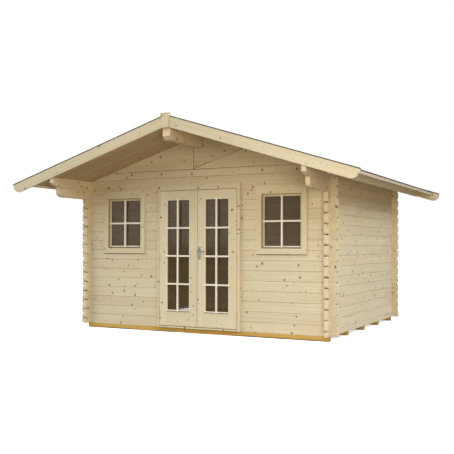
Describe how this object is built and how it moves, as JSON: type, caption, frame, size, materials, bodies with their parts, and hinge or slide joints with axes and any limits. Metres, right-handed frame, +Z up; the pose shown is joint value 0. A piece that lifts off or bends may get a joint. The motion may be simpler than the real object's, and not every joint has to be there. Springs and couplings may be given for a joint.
{
  "type": "log garden house",
  "caption": "Garden house of interlocking wooden logs with a front gable, a deep roof overhang on stepped brackets, two windows and a pair of glazed doors that swing out.",
  "frame": {"origin": "on the ground, under the middle of the roof's outline", "axes": "+X to the right as one faces the doors, +Y from the doors to the rear, +Z up"},
  "size_m": [4.91, 4.347, 2.789],
  "materials": {
    "log_spruce": "planed, untreated spruce logs with small knots",
    "board_spruce": "planed, untreated spruce boards",
    "joinery_spruce": "fine-planed, untreated spruce joinery",
    "treated_pine": "sawn, pressure-treated pine with a golden tint",
    "roofing_felt": "dark mineral-surfaced bitumen felt",
    "pane_glass": "clear, dark from the unlit room behind",
    "satin_steel": "satin",
    "yellow_zinc": "zinc-plated with a yellow tint"
  },
  "bodies": {
    "house": {"bearers": "treated_pine", "front_wall_left": "log_spruce", "front_wall_right": "log_spruce", "front_wall_top": "log_spruce", "rear_wall": "log_spruce", "left_wall": "log_spruce", "right_wall": "log_spruce", "left_eave_logs": "log_spruce", "right_eave_logs": "log_spruce", "front_gable_low": "log_spruce", "front_gable_left": "log_spruce", "front_gable_right": "log_spruce", "front_gable_top": "log_spruce", "rear_gable": "log_spruce", "ridge_purlin": "log_spruce", "roof_boards_left": "board_spruce", "roof_boards_right": "board_spruce", "roof_battens": "board_spruce", "roof_deck": "board_spruce", "roof_felt": "roofing_felt", "eave_strips": "board_spruce", "left_fascia": "board_spruce", "right_fascia": "board_spruce", "front_bargeboard_left": "board_spruce", "front_bargeboard_right": "board_spruce", "rear_bargeboard_left": "board_spruce", "rear_bargeboard_right": "board_spruce", "front_apex_cover": "board_spruce", "rear_apex_cover": "board_spruce", "door_frame": "joinery_spruce", "threshold": "joinery_spruce", "frame_hinges": "yellow_zinc", "left_window_casing": "joinery_spruce", "right_window_casing": "joinery_spruce", "left_window_sash": "joinery_spruce", "right_window_sash": "joinery_spruce", "window_glass": "pane_glass"},
    "left_door": {"left_door_leaf": "joinery_spruce", "left_door_glass": "pane_glass", "left_leaf_hinges": "yellow_zinc"},
    "right_door": {"right_door_leaf": "joinery_spruce", "right_door_glass": "pane_glass", "right_leaf_hinges": "yellow_zinc", "handle_plates": "satin_steel"},
    "lever": {"door_lever": "satin_steel"}
  },
  "joints": [
    {"name": "left_door_hinge", "type": "hinge", "parent": "house", "child": "left_door", "pos_m": [-0.583, -1.3555, 0.9935], "axis": [0, 0, -1], "range_deg": [0, 150]},
    {"name": "right_door_hinge", "type": "hinge", "parent": "house", "child": "right_door", "pos_m": [0.583, -1.3555, 0.9935], "axis": [0, 0, 1], "range_deg": [0, 150]},
    {"name": "lever_turn", "type": "hinge", "parent": "right_door", "child": "lever", "pos_m": [0.034, -1.3275, 1.086], "axis": [0, 1, 0], "range_deg": [0, 40], "stiffness_Nm_per_rad": 1.5, "springref_deg": -28.65}
  ]
}
